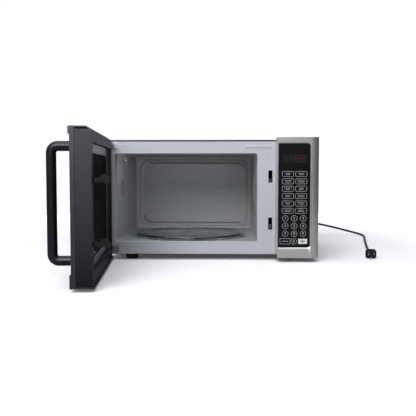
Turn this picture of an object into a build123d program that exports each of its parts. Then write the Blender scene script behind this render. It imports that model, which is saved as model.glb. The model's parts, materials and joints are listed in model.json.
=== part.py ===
"""Countertop microwave oven, shown with its door open.

Millimetres, +Z up, +Y to the back. The origin is on the table, in the middle of the four feet.
"""
from build123d import *
import math
import os

# ---------------------------------------------------------------- driving dimensions
half_width = 263.0          # half the cabinet's width
plate_face = -202.0         # front face of the front plate
back_face = 202.0           # outer face of the back panel
foot_height = 14.0
cabinet_top = 298.4
sheet = 0.8                 # cover and panel sheet
plate = 1.2                 # front plate and base sheet

cavity_x = (-240.4, 116.4)  # inside of the oven cavity
cavity_y = (-200.6, 184.0)
cavity_z = (43.5, 266.8)
opening_x = (-239.0, 115.0)
opening_z = (45.8, 265.1)
opening_radius = 5.0
jamb_depth = 12.0

table_x = -62.0             # turntable centre
table_y = -7.6
track_z = 29.0              # floor of the round recess
recess_radius = 162.0
tray_radius = 148.0
tray_bottom = 41.5
roller_radius = 6.0
roller_track = 98.0

pin_x = -254.2              # door hinge axis
pin_y = -212.9
pin_radius = 3.5
running = 0.06              # radial clearance of a running fit
door_open = 84.7            # degrees, as it stands
door_x = (-262.0, 159.9)    # door, closed
door_z = (9.5, 300.3)
door_face = -243.2
door_back = -204.0
trim_face = -246.0          # top and bottom trims stand proud of the door
trim_top = 303.3
trim_bottom = 6.5
screen_x = (-216.0, 114.0)  # window in the door's metal frame
screen_z = (51.0, 257.0)
ring_x = (-236.0, 134.0)    # opening of the choke cover
ring_z = (35.5, 275.5)

handle_x = 120.0
handle_out = -282.5         # centre line of the grip
handle_z = (53.7, 268.0)    # centre lines of the two posts
handle_radius = 9.5
handle_bend = 12.7

bush_z = (24.5, 275.5)      # lower ends of the door's two hinge bushes
bush_length = 10.5
bush_radius = 5.0

hook_x = (143.8, 148.8)
hook_z = (82.5, 201.0)      # undersides of the hooks' arms
hook_lift = 4.0
slot_x = 147.4
slot_z = (91.1, 208.0)

panel_x = (161.4, 263.0)    # control panel housing
panel_z = (10.2, 303.3)
panel_face = -243.0
keypad_x = (163.6, 240.2)
keypad_z = (36.4, 288.3)
keypad_floor = -240.5
display_x = (172.0, 234.0)
display_z = (238.0, 264.0)

bay_floor = 15.3            # level that the electrics stand on
magnetron_at = (-58.0, 150.0)   # its axis, (Y, Z)

foot_x = 202.0
foot_y = 170.0
foot_radius = 17.0
foot_screw_radius = 2.25
foot_screw_depth = 9.0

cord_radius = 3.25
cord_exit = (205.0, 202.0, 59.0)
relief_length = 30.0
cord_route = [
    (205, 232, 59), (205, 262, 59), (217, 293, 58.2), (246, 318, 56.6), (290, 334, 53.2),
    (336, 348, 46.8), (380, 372, 36.5), (419, 400, 26), (452, 412, 17), (483, 404, 9.5),
    (503, 378, 5), (505, 342, 3.5), (493, 288, 3.4), (476, 205, 3.3), (459, 120, 3.4),
    (443, 36, 3.3), (428, -44, 3.4), (415, -116, 3.4),
]


# ---------------------------------------------------------------- helpers
def block(x, y, z):
    """A box from its (low, high) pairs."""
    size = [high - low for low, high in (x, y, z)]
    middle = [(low + high) / 2 for low, high in (x, y, z)]
    return Pos(*middle) * Box(*size)


def rod(start, direction, radius, length):
    """A round bar from a point along a direction."""
    along = Location(Plane(origin=start, z_dir=direction))
    return along * Cylinder(radius, length, align=(Align.CENTER, Align.CENTER, Align.MIN))


def tube(start, direction, outer, inner, length):
    """A round tube from a point along a direction."""
    return rod(start, direction, outer, length) - rod(start, direction, inner, length)


def board(x, z, y, radius=0.0):
    """A flat upright board across the oven, with rounded corners."""
    width, height = x[1] - x[0], z[1] - z[0]
    outline = RectangleRounded(width, height, radius) if radius else Rectangle(width, height)
    face = Plane.XZ * Pos((x[0] + x[1]) / 2, (z[0] + z[1]) / 2) * outline
    return Pos(0, y[1], 0) * extrude(face, y[1] - y[0])


def frame(x, z, y, border, radius):
    """A flat upright ring around the opening x, z."""
    outer_x = (x[0] - border, x[1] + border)
    outer_z = (z[0] - border, z[1] + border)
    return board(outer_x, outer_z, y, radius + border) - board(x, z, y, radius)


def slot_grid(centre, normal, columns, rows, pitch, size, depth=6.0):
    """Cutters for rows of round-ended slots in a wall; pitch and size are (along, up)."""
    if normal == "X":
        wall = Plane(origin=centre, x_dir=(0, 1, 0), z_dir=(1, 0, 0))
    elif normal == "Y":
        wall = Plane(origin=centre, x_dir=(1, 0, 0), z_dir=(0, -1, 0))
    else:
        wall = Plane(origin=centre, x_dir=(1, 0, 0), z_dir=(0, 0, 1))
    shape = SlotOverall(size[0], size[1])
    outlines = Sketch() + [place * shape for place in GridLocations(pitch[0], pitch[1], columns, rows)]
    return extrude(wall * outlines, depth / 2, both=True)


def opened(shape):
    """Turn a piece of the closed door to where it stands open."""
    swing = Pos(pin_x, pin_y, 0) * Rot(0, 0, -door_open) * Pos(-pin_x, -pin_y, 0)
    return swing * shape


def save(name, shape):
    """Write one sub-part."""
    export_step(shape, "parts/" + name + ".step")


# ---------------------------------------------------------------- cabinet shells
def front_plate():
    hem = 4.0
    side = half_width - hem
    body = board((-side, side), (15.2, cabinet_top - hem), (plate_face, plate_face + plate), 2.0)
    body -= board(opening_x, opening_z, (plate_face - 1, plate_face + 2), opening_radius)
    jamb = frame(opening_x, opening_z, (plate_face, plate_face + jamb_depth), plate, opening_radius)
    body += jamb
    for z in slot_z:
        body -= board((slot_x - 5, slot_x + 5), (z - 15, z + 15), (plate_face - 1, plate_face + 2), 1.0)
    ridge = (plate_face - 0.8, plate_face)
    body += board((84.0, 150.0), (278.6, 283.6), ridge, 2.4)
    body += board((135.0, 140.0), (247.0, 280.0), ridge, 2.4)
    body += board((-222.0, -207.0), (282.4, 286.6), ridge, 2.0)
    return body


def cavity_liner():
    wall = 1.0
    inner_radius = 6.0
    long = (cavity_y[0] - 20, cavity_y[1])
    inside = block(cavity_x, long, cavity_z)
    inside_edges = inside.edges().filter_by(Axis.Y) + inside.faces().sort_by(Axis.Y)[-1].edges()
    inside = fillet(inside_edges, inner_radius)
    outer_x = (cavity_x[0] - wall, cavity_x[1] + wall)
    outer_z = (cavity_z[0] - wall, cavity_z[1] + wall)
    outside = block(outer_x, (long[0], cavity_y[1] + wall), outer_z)
    outside_edges = outside.edges().filter_by(Axis.Y) + outside.faces().sort_by(Axis.Y)[-1].edges()
    outside = fillet(outside_edges, inner_radius + wall)
    well_top = cavity_z[0] - track_z
    outside += rod((table_x, table_y, track_z - wall), (0, 0, 1), recess_radius + wall, well_top + 1)
    shell = outside - inside
    shell -= rod((table_x, table_y, track_z), (0, 0, 1), recess_radius, well_top + wall)
    shell -= rod((table_x, table_y, track_z - 5), (0, 0, 1), 8.0, 10.0)
    shell -= block((-400, 400), (long[0] - 1, cavity_y[0]), (0, 400))
    shell += board((-212, 99.5), (63.6, 242.9), (cavity_y[1] - 1.5, cavity_y[1]), 28.0)
    for y in (-20.0, 112.0):
        shell -= slot_grid((cavity_x[0], y, 248.0), "X", 1, 4, (30, 5.6), (34, 2.8))
    shell -= slot_grid((cavity_x[0], -72.0, 175.0), "X", 2, 8, (30, 5.4), (24, 2.6))
    shell -= slot_grid((cavity_x[1], -130.0, 178.0), "X", 6, 6, (7, 7), (3.6, 3.0))
    shell -= block((cavity_x[1] - 1, cavity_x[1] + 3), (-60, 50), (124, 176))
    return shell


def outer_cover():
    hem = 3.7
    y = (plate_face + 1.4, back_face)
    profile = board((-half_width, half_width), (0, cabinet_top), y, 6.0)
    profile -= board((sheet - half_width, half_width - sheet), (-10, cabinet_top - sheet), (-300, 300), 5.2)
    lip = board((-half_width, half_width), (0, cabinet_top), (plate_face, plate_face + sheet), 6.0)
    lip -= board((hem - half_width, half_width - hem), (-10, cabinet_top - hem), (-300, 300), 2.0)
    link = board((-half_width, half_width), (0, cabinet_top), (plate_face, y[0]), 6.0)
    link -= board((sheet - half_width, half_width - sheet), (-10, cabinet_top - sheet), (-300, 300), 5.2)
    cover = profile + lip + link
    cover -= block((-400, 400), (-400, 400), (-20, 14.6))
    cover -= slot_grid((half_width, -70.0, 120.0), "X", 3, 9, (32, 9), (26, 3.6))
    cover -= slot_grid((-half_width, 130.0, 225.0), "X", 3, 9, (32, 9), (26, 3.6))
    return cover


def back_panel():
    side = half_width - 1.4
    panel = board((-side, side), (15.4, cabinet_top - 1.4), (back_face - 1.2, back_face), 5.0)
    panel -= slot_grid((190.0, back_face, 212.0), "Y", 4, 11, (26, 8.5), (22, 3.6))
    panel -= slot_grid((-150.0, back_face, 235.0), "Y", 3, 6, (30, 8.5), (26, 3.6))
    panel -= rod((cord_exit[0], back_face - 5, cord_exit[2]), (0, 1, 0), 8.0, 10)
    return panel


def base_plate():
    side = half_width - 1.4
    base = block((-side, side), (plate_face + 1.5, back_face - 1.5), (foot_height, foot_height + plate))
    base -= slot_grid((200.0, 20.0, foot_height), "Z", 2, 12, (32, 9), (26, 4))
    base -= slot_grid((-62.0, -130.0, foot_height), "Z", 5, 3, (34, 10), (28, 4))
    return base


def feet():
    profile = Plane.XZ * make_face(Polyline((0, 0), (14.5, 0), (15.5, 1.2), (foot_radius, foot_height),
                                            (0, foot_height), close=True))
    body = revolve(profile, Axis.Z)
    body -= rod((0, 0, 0), (0, 0, 1), foot_screw_radius, foot_screw_depth)
    return Compound(children=[Pos(x, y, 0) * body for x in (-foot_x, foot_x) for y in (-foot_y, foot_y)])


def cover_screws():
    group = []
    for x, z in ((-250, 284), (0, 289), (250, 284), (-250, 28), (0, 24), (250, 28)):
        head = rod((x, back_face, z), (0, 1, 0), 4.2, 2.0)
        head = chamfer(head.edges().sort_by(Axis.Y)[-1], 0.9)
        head -= block((x - 3, x + 3), (back_face + 1.2, back_face + 3), (z - 0.5, z + 0.5))
        head -= block((x - 0.5, x + 0.5), (back_face + 1.2, back_face + 3), (z - 3, z + 3))
        group.append(head)
    return Compound(children=group)


# ---------------------------------------------------------------- control panel
def right_rounded(x, z, y, radius):
    """A flat upright board with only its right-hand corners rounded."""
    outline = Pos((x[0] + x[1]) / 2, (z[0] + z[1]) / 2) * Rectangle(x[1] - x[0], z[1] - z[0])
    outline = fillet(outline.vertices().sort_by(Axis.X)[-2:], radius)
    return Pos(0, y[1], 0) * extrude(Plane.XZ * outline, y[1] - y[0])


def control_panel_housing():
    back = plate_face - 0.1
    wall = 2.5
    body = block(panel_x, (panel_face, back), panel_z)
    right_front = body.edges().filter_by(Axis.Z).sort_by(Axis.Y)[:2].sort_by(Axis.X)[-1]
    body = fillet(right_front, 20.0)
    inner = block((panel_x[0] + wall, panel_x[1] - wall), (panel_face + wall + 2.2, back + 1),
                  (panel_z[0] + wall, panel_z[1] - wall))
    inner = fillet(inner.edges().filter_by(Axis.Z).sort_by(Axis.Y)[:2].sort_by(Axis.X)[-1], 15.3)
    body -= inner
    recess = right_rounded(keypad_x, keypad_z, (panel_face - 1, keypad_floor), 6.5)
    body -= recess
    rim = body.edges().group_by(Axis.Y)[0]
    body = chamfer([edge for edge in rim if keypad_x[0] - 1 < edge.center().X < keypad_x[1] + 1
                    and keypad_z[0] - 1 < edge.center().Z < keypad_z[1] + 1], 0.9)
    body -= board(display_x, display_z, (keypad_floor - 2, keypad_floor + 8), 2.0)
    return body


def keypad_overlay():
    gap = 0.3
    x = (keypad_x[0] + gap, keypad_x[1] - gap)
    z = (keypad_z[0] + gap, keypad_z[1] - gap)
    film = right_rounded(x, z, (keypad_floor - sheet, keypad_floor), 6.2)
    return film - board(display_x, display_z, (keypad_floor - 3, keypad_floor + 1), 2.0)


def display_window():
    return board(display_x, display_z, (keypad_floor - sheet, keypad_floor + 0.4), 2.0)


def display_module():
    margin = 1.0
    x = (display_x[0] + margin, display_x[1] - margin)
    z = (display_z[0] + margin, display_z[1] - margin)
    body = board(x, z, (keypad_floor + 2.0, -229.0))
    for column in range(8):
        body += rod((x[0] + 5 + column * 7, -229.0, z[0] + 3), (0, 1, 0), 0.4, 1.0)
    return body


def control_board():
    board_y = (-228.0, -226.4)
    body = board((168, 256), (42, 284), board_y, 2.0)
    for x, z in ((173, 48), (251, 48), (173, 278), (251, 278)):
        body -= rod((x, -230, z), (0, 1, 0), 1.8, 6)
    return body


def board_components():
    """Two relays, the small supply transformer and the buzzer."""
    group = [block((x, x + 15), (-226.4, -210.4), (60, 80)) for x in (182, 206)]
    transformer = block((180, 216), (-226.4, -206.4), (100, 130))
    group.append(transformer + block((184, 212), (-224.4, -203.6), (104, 126)))
    group.append(tube((236, -226.4, 150), (0, 1, 0), 8, 1.5, 9) + rod((236, -226.4, 150), (0, 1, 0), 8, 4))
    return Compound(children=group)


# ---------------------------------------------------------------- latch and switches
def latch_housing():
    wall = block((152.6, 155.6), (plate_face + plate + 0.1, -160), (68, 232))
    for z in hook_z:
        wall += block((143, 152.6), (plate_face + plate + 0.1, -186), (z - 15, z - 4.6))
    wall += block((152.6, 162), (plate_face + plate + 0.1, -198.4), (140, 160))
    return wall


def microswitch(z):
    """One of the three switches that the latch hooks press."""
    body = block((155.7, 162), (-192, -164), (z - 8, z + 8))
    body -= rod((150, -186, z), (1, 0, 0), 1.6, 20)
    body -= rod((150, -170, z), (1, 0, 0), 1.6, 20)
    for y in (-188, -178, -168):
        body += block((158, 159), (y - 2.4, y + 2.4), (z - 14, z - 8))
    return body


def door_switches():
    return Compound(children=[microswitch(z) for z in (hook_z[0] + 4.5, 150.0, hook_z[1] + 4.5)])


# ---------------------------------------------------------------- electrics in the right-hand bay
def waveguide():
    outer = block((117.6, 158), (-92, 56), (112, 188))
    duct = outer - block((116, 156.8), (-90.8, 54.8), (113.2, 186.8))
    return duct - rod((150, *magnetron_at), (1, 0, 0), 12.5, 20)


def waveguide_cover():
    cover = board((-75, 65), (100, 205), (0, 0.9), 3.0)
    for x, z in ((-75, 205), (65, 100)):
        cover -= block((x - 7, x + 7), (-2, 3), (z - 7, z + 7))
    return Pos(115.3, 0, 0) * Rot(0, 0, 90) * cover


def magnetron_yoke():
    box = block((158.1, 246), (-105, -11), (106, 194))
    box -= block((160, 244), (-110, 0), (108, 192))
    return box - rod((150, *magnetron_at), (1, 0, 0), 11.0, 20)


def magnetron_fins():
    core = rod((166, *magnetron_at), (1, 0, 0), 17, 72)
    for step in range(7):
        x = 172 + step * 10
        core += block((x, x + 0.9), (-104, -12), (110, 190))
    return core


def magnetron_antenna():
    stem = rod((136, *magnetron_at), (1, 0, 0), 7.5, 30)
    collar = rod((160, *magnetron_at), (1, 0, 0), 10.8, 6)
    return stem + collar - rod((130, *magnetron_at), (1, 0, 0), 4, 12)


def transformer_core():
    core = block((146, 242), (24, 96), (bay_floor, 97))
    for x in (162, 207):
        core -= block((x, x + 19), (0, 120), (33, 80))
    foot_plate = block((140, 248), (20, 100), (bay_floor, bay_floor + 2))
    return core + foot_plate


def transformer_windings():
    coils = []
    for z in ((33.4, 55.5), (57.5, 79.6)):
        coil = block((162.4, 225.6), (10, 110), z)
        coil = fillet(coil.edges().filter_by(Axis.Z), 10)
        coils.append(coil - block((180.8, 207.2), (23.8, 96.2), (z[0] - 1, z[1] + 1)))
    return Compound(children=coils)


def hv_capacitor():
    outline = Pos(186, 142) * SlotOverall(88, 34)
    can = Pos(0, 0, bay_floor) * extrude(outline, 74)
    can = fillet(can.edges().group_by(Axis.Z)[-1], 2.0)
    for x in (166, 206):
        can += block((x - 3, x + 3), (141.5, 142.5), (88, 100))
    return can


def hv_diode():
    x, y = 146, 118
    return rod((x, y, 26), (0, 0, 1), 4, 20) + rod((x, y, bay_floor), (0, 0, 1), 1, 40)


def noise_filter_board():
    body = board((128, 188), (40, 100), (188, 189.6))
    body += rod((148, 174, 60), (0, 1, 0), 9, 14) + block((160, 184), (172, 188), (78, 96))
    for x, z in ((132, 44), (184, 44), (132, 96), (184, 96)):
        body += rod((x, 189.6, z), (0, 1, 0), 2.2, 11.1)
    return body


def fuse():
    body = rod((160, 182, 62), (1, 0, 0), 3.2, 24)
    for x in (160, 180):
        body += block((x, x + 4), (182, 188), (59.5, 64.5))
    return body


def thermal_cutout():
    disc = rod((117.5, 100, 120), (1, 0, 0), 9, 8)
    return disc + block((117.5, 119), (88, 112), (116, 124)) + block((125, 132), (98, 102), (119.5, 120.5))


def lamp_holder():
    body = block((119, 139), (-152, -112), (196, 222))
    body -= rod((129, -132, 190), (0, 0, 1), 7.5, 26)
    return body + block((117.6, 119), (-156, -108), (192, 226))


def cavity_lamp():
    bulb = rod((129, -132, 168), (0, 0, 1), 8.0, 22)
    bulb = fillet(bulb.edges().group_by(Axis.Z)[0], 7.0)
    return bulb + rod((129, -132, 190), (0, 0, 1), 7.0, 26)


def turntable_motor():
    body = rod((table_x, table_y, 15.4), (0, 0, 1), 25, 11.4)
    body = chamfer(body.edges().group_by(Axis.Z)[-1], 0.8)
    body += block((table_x - 33, table_x + 33), (table_y - 6, table_y + 6), (15.4, 16.6))
    return body - rod((table_x, table_y, 18), (0, 0, 1), 3.5 + running, 20)


# ---------------------------------------------------------------- fan
fan_x = 190.0
fan_z = 212.0


def fan_shroud():
    wall = board((121, 259), (152, 274), (194, 195.2), 4.0)
    wall -= rod((fan_x, 150, fan_z), (0, 1, 0), 54, 60)
    return wall + tube((fan_x, 172, fan_z), (0, 1, 0), 55.2, 54, 23.2)


def fan_bracket():
    strap = board((130, 250), (204, 220), (164, 165.4), 2.0)
    for x in (130, 248.6):
        strap += block((x, x + 1.4), (164, 194), (204, 220))
    return strap - rod((fan_x, 150, fan_z), (0, 1, 0), 6.0, 30)


def fan_motor():
    stack = block((168, 212), (146, 163.9), (190, 238))
    stack -= block((177, 203), (140, 170), (222, 232))
    stack += block((174, 206), (142, 163.9), (223, 231))
    stack += rod((fan_x, 138, fan_z), (0, 1, 0), 5.8, 33)
    return stack - rod((fan_x, 130, fan_z), (0, 1, 0), 2.0 + running, 60)


def fan_blade():
    hub = rod((fan_x, 174, fan_z), (0, 1, 0), 13, 17)
    hub -= rod((fan_x, 173, fan_z), (0, 1, 0), 2.0, 14)
    for turn in range(5):
        blade = Pos(0, 0, 31) * Rot(0, 0, 32) * Box(22, 1.6, 40)
        hub += Pos(fan_x, 182, fan_z) * Rot(0, turn * 72, 0) * blade
    return hub


def fan_shaft():
    return rod((fan_x, 139, fan_z), (0, 1, 0), 2.0, 47.5)


# ---------------------------------------------------------------- hinges on the cabinet
tongues = {"upper": (289.0, -12.0), "lower": (20.0, 12.0)}   # underside, way that the pin points


def hinge_plate(which):
    """A screwed tab with a tongue and the pin that the door turns on."""
    z, reach = tongues[which]
    tongue = block((pin_x - 6.8, pin_x + 6.8), (pin_y, plate_face), (z, z + 2))
    tongue += rod((pin_x, pin_y, z), (0, 0, 1), 6.8, 2)
    tab_z = (276, z + 2) if reach < 0 else (z, 35)
    tab = block((-258.8, -230), (plate_face - 1.2, plate_face), tab_z)
    tab -= rod((-238, plate_face - 3, sum(tab_z) / 2), (0, 1, 0), 2.6, 5)
    start = z if reach > 0 else z + 2 + reach - 2
    return tongue + tab + rod((pin_x, pin_y, start), (0, 0, 1), pin_radius, abs(reach) + 2)


def hinge_notches():
    """Room in the closed door for the tongues as the door turns about them."""
    x, y = (pin_x - 9, pin_x + 8.2), (pin_y - 10.8, pin_y + 10)
    return [block(x, y, (z - 1.5, z + 3.5)) for z, _ in tongues.values()]


def hinge_bushes():
    bushes = []
    for z in bush_z:
        bushes.append(tube((pin_x, pin_y, z), (0, 0, 1), bush_radius, pin_radius + running, bush_length))
    return Compound(children=bushes)


# ---------------------------------------------------------------- door, drawn closed
def door_outer_frame():
    back = -234.5
    skin = 2.8
    points = [(-213, trim_top), (trim_face, trim_top), (trim_face, 289), (door_face, 288), (door_face, 33),
              (trim_face, 32), (trim_face, trim_bottom), (-200.5, trim_bottom), (-200.5, door_z[0]),
              (back, door_z[0]), (back, 12), (door_face + skin, 12), (door_face + skin, 297.8),
              (back, 297.8), (back, door_z[1]), (-213, door_z[1])]
    outline = Plane.YZ * make_face(Polyline(*points, close=True))
    shell = Pos(door_x[0], 0, 0) * extrude(outline, door_x[1] - door_x[0])
    ends = shell.edges().filter_by(Axis.X).sort_by(Axis.Y)[:4]
    corners = [edge for edge in ends if edge.center().Z > trim_top - 1 or edge.center().Z < trim_bottom + 1]
    shell = fillet(corners, 2.2)
    for x in (door_x[0], door_x[1] - 2.5):
        shell += block((x, x + 2.5), (door_face + 1, back), (door_z[0], door_z[1]))
    shell -= board((-196, 94), (60, 258), (-250, -230), 8.0)
    for z in handle_z:
        shell -= rod((handle_x, -250, z), (0, 1, 0), 2.6, 20)
    return shell


def door_glass():
    return board((-202, 100), (54, 264), (door_face + 2.8, -237.2), 6.0)


def choke_cover():
    y = (-234.2, door_back)
    wall = 2.5
    x_range = (door_x[0], door_x[1])
    z_range = (door_z[0] + 0.3, 297.6)
    solid = block(x_range, y, z_range)
    inner_edges = solid.edges().group_by(Axis.Y)[-1].filter_by(Axis.X)
    solid = fillet(inner_edges, 1.5)
    hinge_corner = solid.edges().filter_by(Axis.Z).sort_by(Axis.Y)[-2:].sort_by(Axis.X)[0]
    solid = fillet(hinge_corner, 6.0)
    inside_x = (x_range[0] + wall, x_range[1] - wall)
    inside = block(inside_x, (-260, door_back - wall), (z_range[0] + wall, z_range[1] - wall))
    hinge_edge = inside.edges().filter_by(Axis.Z).sort_by(Axis.Y)[-2:].sort_by(Axis.X)[0]
    ring = solid - fillet(hinge_edge, 4.0)
    lip_x = (ring_x[0] - 2, ring_x[1] + 2)
    lip_z = (ring_z[0] - 2, ring_z[1] + 2)
    ring += board(lip_x, lip_z, (-213.0, door_back - 0.5), 6.0)
    ring -= board(ring_x, ring_z, (-260, -190), 4.0)
    for z in hook_z:
        ring -= block((hook_x[0] - 1, hook_x[1] + 1), (-208, -200), (z - 1.2, z + 9 + hook_lift + 1))
    return ring - hinge_notches()


def metal_frame():
    outer_x = (-258.4, 156.4)
    outer_z = (15, 292)
    face = (-214.4, -213.2)
    body = board(outer_x, outer_z, face, 2.0)
    body += frame((outer_x[0] + plate, outer_x[1] - plate), (outer_z[0] + plate, outer_z[1] - plate),
                  (-233.6, face[1]), plate, 1.0)
    step_x = (screen_x[0] - 4, screen_x[1] + 4)
    step_z = (screen_z[0] - 4, screen_z[1] + 4)
    body += board(step_x, step_z, (-213.2, -212.0), 3.0)
    body -= board(screen_x, screen_z, (-240, -200), 2.0)
    for z in bush_z:
        body -= rod((pin_x, pin_y, z - 1), (0, 0, 1), bush_radius + 0.05, bush_length + 4)
    return body - hinge_notches()


def door_screen():
    margin = 5.0
    x = (screen_x[0] - margin, screen_x[1] + margin)
    z = (screen_z[0] - margin, screen_z[1] + margin)
    return board(x, z, (-216.2, -215.4), 2.0)


def window_film():
    margin = 3.0
    x = (screen_x[0] - margin, screen_x[1] + margin)
    z = (screen_z[0] - margin, screen_z[1] + margin)
    return board(x, z, (-215.3, -214.5), 2.0)


def film_screws():
    group = []
    for x in (-150, -62, 40):
        head = rod((x, -214.5, screen_z[0] + 7), (0, 1, 0), 2.6, 1.4)
        group.append(fillet(head.edges().sort_by(Axis.Y)[-1], 0.8))
    return Compound(children=group)


def hook_profile():
    """Side view of one hook, (Y, Z), with the underside of its arm at z 0."""
    bar = -212.2
    reach = door_back + 32.5
    line = Polyline((reach - 9, -3.6), (reach - 11.5, 0), (bar, 0), (bar, 9), (reach - 20, 9))
    crown = ThreePointArc((reach - 20, 9), (reach - 11, 14.6), (reach - 2, 9.5))
    nose = ThreePointArc((reach - 2, 9.5), (reach, 4), (reach - 4, -3.0))
    tip = Line((reach - 4, -3.0), (reach - 9, -3.6))
    return make_face([line, crown, nose, tip])


def latch_hooks():
    body = block(hook_x, (-212.2, -208.2), (74, 222))
    for z in hook_z:
        arm = extrude(Plane.YZ * hook_profile(), hook_x[1] - hook_x[0])
        body += Pos(hook_x[0], 0, z) * arm
    return body


def latch_spring():
    """A flat zigzag wire spring below the hooks' bar."""
    steps = 8
    points = [(0, 52.6)] + [(2.2 * (-1) ** step, 54.6 + 2.1 * step) for step in range(steps)] + [(0, 73.6)]
    path = FilletPolyline(*[(x, 0, z) for x, z in points], radius=0.7)
    wire = sweep(Plane(origin=path @ 0, z_dir=path % 0) * Circle(0.4), path=path)
    return Pos(sum(hook_x) / 2, -210.2, 0) * wire


def door_handle():
    top, bottom = handle_z[1], handle_z[0]
    points = [(handle_x, door_face, top), (handle_x, handle_out, top),
              (handle_x, handle_out, bottom), (handle_x, door_face, bottom)]
    path = FilletPolyline(*points, radius=handle_bend)
    start = Plane(origin=points[0], z_dir=(0, -1, 0))
    body = sweep(start * Circle(handle_radius), path=path)
    for z in handle_z:
        body -= rod((handle_x, door_face - 9, z), (0, 1, 0), 2.0, 12)
    return body


def handle_screws():
    group = []
    for z in handle_z:
        head = rod((handle_x, door_face + 2.8, z), (0, 1, 0), 4.5, 2.6)
        group.append(head + rod((handle_x, door_face - 8, z), (0, 1, 0), 2.0, 11))
    return Compound(children=group)


# ---------------------------------------------------------------- turntable
def turntable_coupler():
    body = rod((table_x, table_y, 19), (0, 0, 1), 3.5, 13)
    body += rod((table_x, table_y, 30.5), (0, 0, 1), 9.0, 10.2)
    for turn in range(3):
        arm = block((0, 19), (-3.5, 3.5), (33, 40.7))
        body += Pos(table_x, table_y, 0) * Rot(0, 0, 30 + 120 * turn) * arm
    return body


def glass_tray():
    rise = 9.0
    thick = 4.2
    flat = tray_radius - 17
    profile = make_face([
        Polyline((0, tray_bottom + thick), (0, tray_bottom), (flat, tray_bottom)),
        ThreePointArc((flat, tray_bottom), (tray_radius - 8, tray_bottom + 2.0),
                      (tray_radius, tray_bottom + rise - 1)),
        ThreePointArc((tray_radius, tray_bottom + rise - 1), (tray_radius - 1.6, tray_bottom + rise + 0.6),
                      (tray_radius - 4, tray_bottom + rise)),
        ThreePointArc((tray_radius - 4, tray_bottom + rise), (tray_radius - 10, tray_bottom + 5.8),
                      (flat - 2, tray_bottom + thick)),
        Line((flat - 2, tray_bottom + thick), (0, tray_bottom + thick)),
    ])
    tray = revolve(Plane.XZ * profile, Axis.Z)
    for turn in range(3):
        lug = block((11, 18), (-4, 4), (tray_bottom - 5, tray_bottom + 1))
        tray += Rot(0, 0, 90 + 120 * turn) * lug
    return Pos(table_x, table_y, 0) * tray


roller_angles = (-150, -30, 90)
axle_z = track_z + roller_radius + 0.2


def roller_ring():
    hoop = tube((table_x, table_y, 32.0), (0, 0, 1), 91.0, 80.0, 6.2)
    for angle in roller_angles:
        axle = rod((89, 0, axle_z), (1, 0, 0), 2.0, 14.6)
        axle += rod((roller_track + 4.4, 0, axle_z), (1, 0, 0), 3.4, 1.6)
        hoop += Pos(table_x, table_y, 0) * Rot(0, 0, angle) * axle
    return hoop


def roller(angle):
    wheel = tube((roller_track - 3.8, 0, axle_z), (1, 0, 0), roller_radius, 2.0 + running, 7.6)
    rims = wheel.edges().filter_by(GeomType.CIRCLE).filter_by(lambda edge: edge.radius > roller_radius - 0.1)
    wheel = fillet(rims, 1.0)
    return Pos(table_x, table_y, 0) * Rot(0, 0, angle) * wheel


# ---------------------------------------------------------------- mains lead
def strain_relief():
    x, y, z = cord_exit
    flange = rod((x, y, z), (0, 1, 0), 10.5, 3.0)
    sleeve = loft([Plane(origin=(x, y + 3, z), z_dir=(0, 1, 0)) * Circle(6.6),
                   Plane(origin=(x, y + relief_length, z), z_dir=(0, 1, 0)) * Circle(4.2)])
    neck = rod((x, y - 6, z), (0, 1, 0), 7.8, 6)
    return flange + sleeve + neck


def lead_radii():
    """One radius for each corner of the lead's route, from its two runs and its turn."""
    points = [Vector(*point) for point in cord_route]
    radii = []
    for before, corner, after in zip(points, points[1:], points[2:]):
        turn = math.radians((corner - before).get_angle(after - corner))
        run = min((corner - before).length, (after - corner).length)
        radii.append(0.45 * run / math.tan(turn / 2))
    return radii


def power_cord():
    radii = lead_radii()
    path = FilletPolyline(*cord_route, radius=radii)
    first = Vector(*cord_route[1]) - Vector(*cord_route[0])
    tube_body = sweep(Plane(origin=cord_route[0], z_dir=first) * Circle(cord_radius), path=path)
    ideal = math.pi * cord_radius ** 2 * path.length
    print("lead length", round(path.length, 1), "volume ratio", round(tube_body.volume / ideal, 4))
    print("lead radii", [round(radius) for radius in radii])
    return tube_body


def plug_place():
    """A location at the lead's end, its Z along the lead and its X level."""
    end = Vector(*cord_route[-1])
    along = end - Vector(*cord_route[-2])
    along = Vector(along.X, along.Y, 0).normalized()
    return Location(Plane(origin=end, x_dir=Vector(0, 0, 1).cross(along), z_dir=along))


def plug_body():
    """A moulded three-pin plug lying on its flat side, with a tapered relief towards the lead."""
    relief = loft([Pos(0, 0.7, 0) * Circle(3.9), Pos(0, 2.2, 24) * Circle(5.4)])
    grip = loft([Plane(origin=(0, 5.0, 24)) * RectangleRounded(17, 16.5, 5),
                 Plane(origin=(0, 8.6, 50)) * RectangleRounded(26, 24, 7)])
    face = Pos(0, 8.6, 50) * extrude(RectangleRounded(27, 24, 8), 6)
    return plug_place() * (relief + grip + face)


def plug_pins():
    pins = []
    for x in (-6.35, 6.35):
        pins.append(block((x - 0.75, x + 0.75), (7.3, 13.6), (56, 72)))
    ground = rod((0, -1.3, 56), (0, 0, 1), 2.4, 20)
    pins.append(fillet(ground.edges().group_by(Axis.Z)[-1], 1.6))
    return plug_place() * Compound(children=pins)


# ---------------------------------------------------------------- write every sub-part
os.makedirs("parts", exist_ok=True)

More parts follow.
